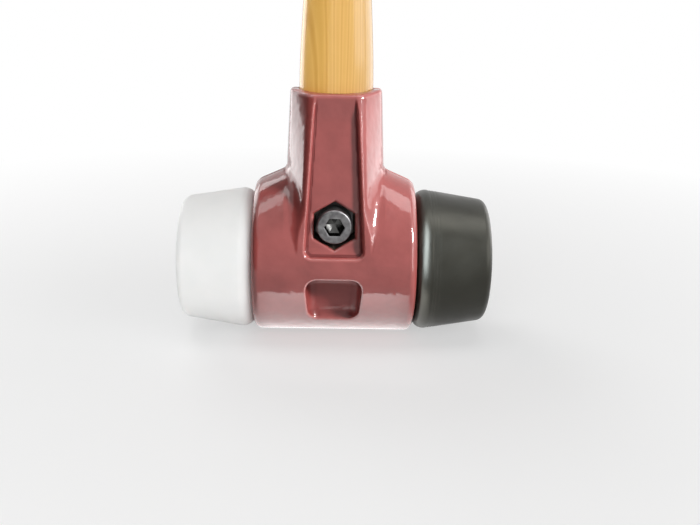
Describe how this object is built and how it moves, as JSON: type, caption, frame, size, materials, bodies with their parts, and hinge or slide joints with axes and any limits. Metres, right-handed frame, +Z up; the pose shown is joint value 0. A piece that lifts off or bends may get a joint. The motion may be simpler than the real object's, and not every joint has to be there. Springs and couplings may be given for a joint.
{
  "type": "soft face hammer",
  "caption": "Soft face hammer with a split cast head clamped by a cross screw over a wooden handle, a hard plastic face and a rubber face.",
  "frame": {"origin": "under the middle of the head, on the surface that the head's rings stand on", "axes": "+Z up along the handle, X along the head from the white face (-X) to the black face (+X), -Y to the side of the screw's head"},
  "size_m": [0.149, 0.07, 0.39],
  "materials": {
    "enamel": "gloss oxblood enamel on a sand casting",
    "screw_steel": "satin, oiled",
    "nut_steel": "zinc plated",
    "handle_wood": "lacquered",
    "white_plastic": "satin",
    "black_rubber": "satin"
  },
  "bodies": {
    "head": {"front_housing": "enamel", "handle": "handle_wood"},
    "rear_clamp": {"rear_housing": "enamel", "hex_nut": "nut_steel"},
    "screw": {"clamp_screw": "screw_steel"},
    "white_face": {"white_insert": "white_plastic"},
    "black_face": {"black_insert": "black_rubber"}
  },
  "joints": [
    {"name": "clamp_open", "type": "slide", "parent": "head", "child": "rear_clamp", "axis": [0, 1, 0], "range_m": [0, 0.0075]},
    {"name": "screw_turn", "type": "hinge", "parent": "head", "child": "screw", "pos_m": [0, 0, 0.0585], "axis": [0, -1, 0], "range_deg": [0, 1801]},
    {"name": "white_pull", "type": "slide", "parent": "head", "child": "white_face", "axis": [-1, 0, 0], "range_m": [0, 0.03]},
    {"name": "black_pull", "type": "slide", "parent": "head", "child": "black_face", "axis": [1, 0, 0], "range_m": [0, 0.03]}
  ],
  "couplings": [
    {"joint": "screw_turn", "follows": "clamp_open", "rad_per_m": 4188.8}
  ]
}
